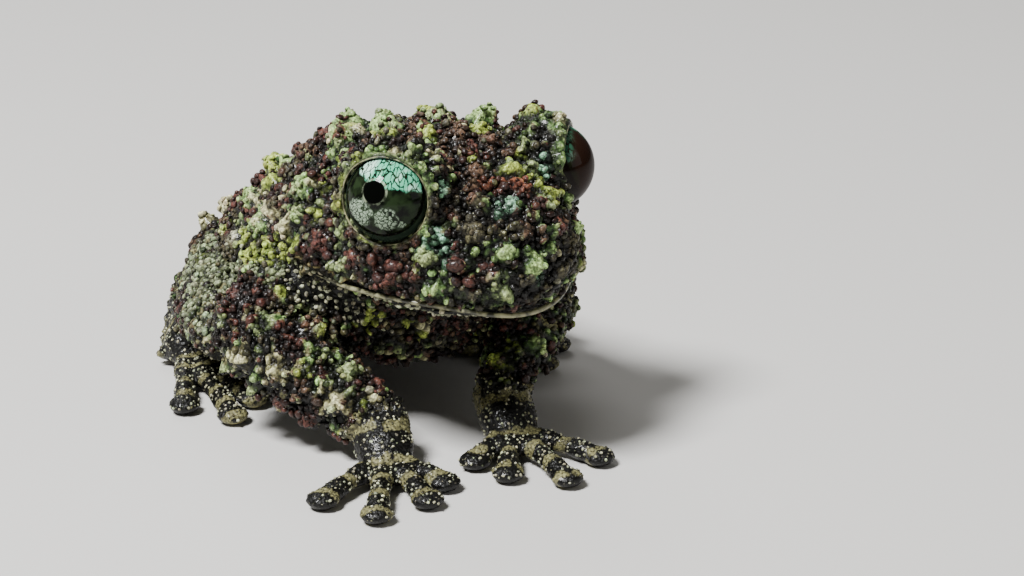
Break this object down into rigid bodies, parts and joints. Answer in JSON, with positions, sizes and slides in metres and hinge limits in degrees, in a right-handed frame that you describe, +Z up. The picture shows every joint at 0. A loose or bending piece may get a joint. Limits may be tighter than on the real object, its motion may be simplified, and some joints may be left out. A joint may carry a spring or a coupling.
{
  "type": "mossy frog",
  "caption": "Small tree frog covered in moss-coloured warts, sitting on spread hands and folded hind legs with its broad head raised and bulging eyes.",
  "frame": {"origin": "middle of the bounding box in X and Y, on the plane its hands and feet rest on", "axes": "+Z up, the frog faces -Y, its left side is +X"},
  "size_m": [0.0284, 0.0438, 0.0208],
  "materials": {
    "mossy_skin": "moist skin with a satin sheen, mottled moss green, dark brown and mint",
    "eye_gloss": "wet gloss over a dark green iris"
  },
  "bodies": {
    "root": {"head": "mossy_skin", "torso": "mossy_skin", "eye_left": "eye_gloss", "eye_right": "eye_gloss", "upper_arm_left": "mossy_skin", "forearm_left": "mossy_skin", "hand_left": "mossy_skin", "thigh_left": "mossy_skin", "shank_left": "mossy_skin", "foot_left": "mossy_skin", "upper_arm_right": "mossy_skin", "forearm_right": "mossy_skin", "hand_right": "mossy_skin", "thigh_right": "mossy_skin", "shank_right": "mossy_skin", "foot_right": "mossy_skin"}
  },
  "joints": []
}
